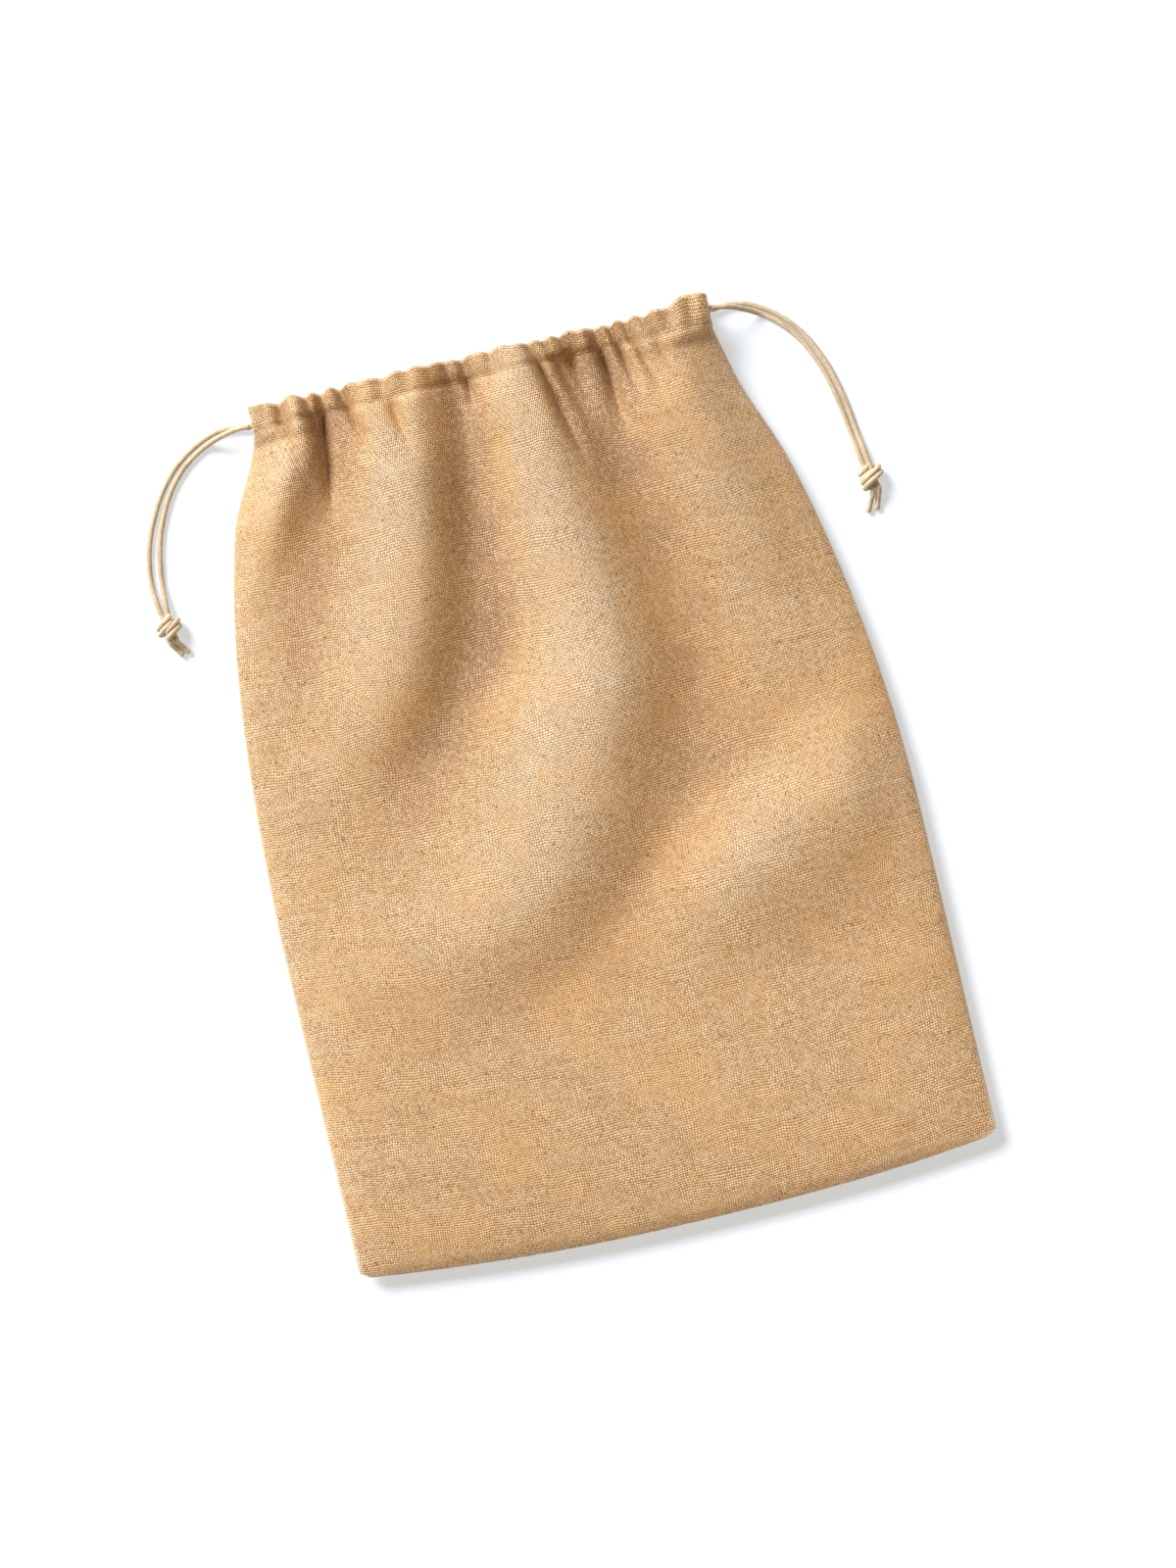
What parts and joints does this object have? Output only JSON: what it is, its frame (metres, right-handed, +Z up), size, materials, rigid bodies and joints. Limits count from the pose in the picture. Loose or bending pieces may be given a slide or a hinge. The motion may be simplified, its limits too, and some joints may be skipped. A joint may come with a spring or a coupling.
{
  "type": "drawstring gift pouch",
  "caption": "Woven jute gift pouch lying flat, with a gathered mouth closed by drawcords that run through stitched channels and end in knots.",
  "frame": {"origin": "on the surface that the pouch lies on, under the middle of the pouch without its free cord ends", "axes": "+Z up, +Y towards the mouth, +X to the pouch's right seen from its front"},
  "size_m": [0.3448, 0.413, 0.0243],
  "materials": {
    "jute_cloth": "open plain weave of natural jute, matt, with a faint fibre sheen",
    "jute_turning": "cut edges of the same cloth, slightly frayed",
    "sewing_thread": "twisted polycotton sewing thread, matt",
    "drawcord": "round waxed cotton cord, soft satin sheen"
  },
  "bodies": {
    "pouch": {"front_panel": "jute_cloth", "back_panel": "jute_cloth", "front_casing": "jute_cloth", "back_casing": "jute_cloth", "left_seam_allowance": "jute_turning", "right_seam_allowance": "jute_turning", "bottom_seam_allowance": "jute_turning", "front_casing_stitching": "sewing_thread", "back_casing_stitching": "sewing_thread", "left_side_stitching": "sewing_thread", "right_side_stitching": "sewing_thread", "bottom_stitching": "sewing_thread", "left_bar_tack": "sewing_thread", "right_bar_tack": "sewing_thread"},
    "left_cord": {"left_cord_loop": "drawcord"},
    "left_cord_end": {"left_front_strand": "drawcord", "left_back_strand": "drawcord", "left_knot": "drawcord", "left_front_tail": "drawcord", "left_back_tail": "drawcord"},
    "right_cord": {"right_cord_loop": "drawcord"},
    "right_cord_end": {"right_front_strand": "drawcord", "right_back_strand": "drawcord", "right_knot": "drawcord", "right_front_tail": "drawcord", "right_back_tail": "drawcord"}
  },
  "joints": [
    {"name": "left_cord_pull", "type": "slide", "parent": "pouch", "child": "left_cord", "axis": [-1, 0, 0], "range_m": [0, 0.055], "deforming": ["front_casing", "back_casing"]},
    {"name": "right_cord_pull", "type": "slide", "parent": "pouch", "child": "right_cord", "axis": [1, 0, 0], "range_m": [0, 0.055], "deforming": ["front_casing", "back_casing"]},
    {"name": "left_cord_swing", "type": "hinge", "parent": "left_cord", "child": "left_cord_end", "pos_m": [-0.1103, 0.1978, 0.0026], "axis": [0, 0, -1], "range_deg": [-10, 85]},
    {"name": "right_cord_swing", "type": "hinge", "parent": "right_cord", "child": "right_cord_end", "pos_m": [0.1103, 0.2018, 0.0026], "axis": [0, 0, 1], "range_deg": [-10, 85]}
  ]
}
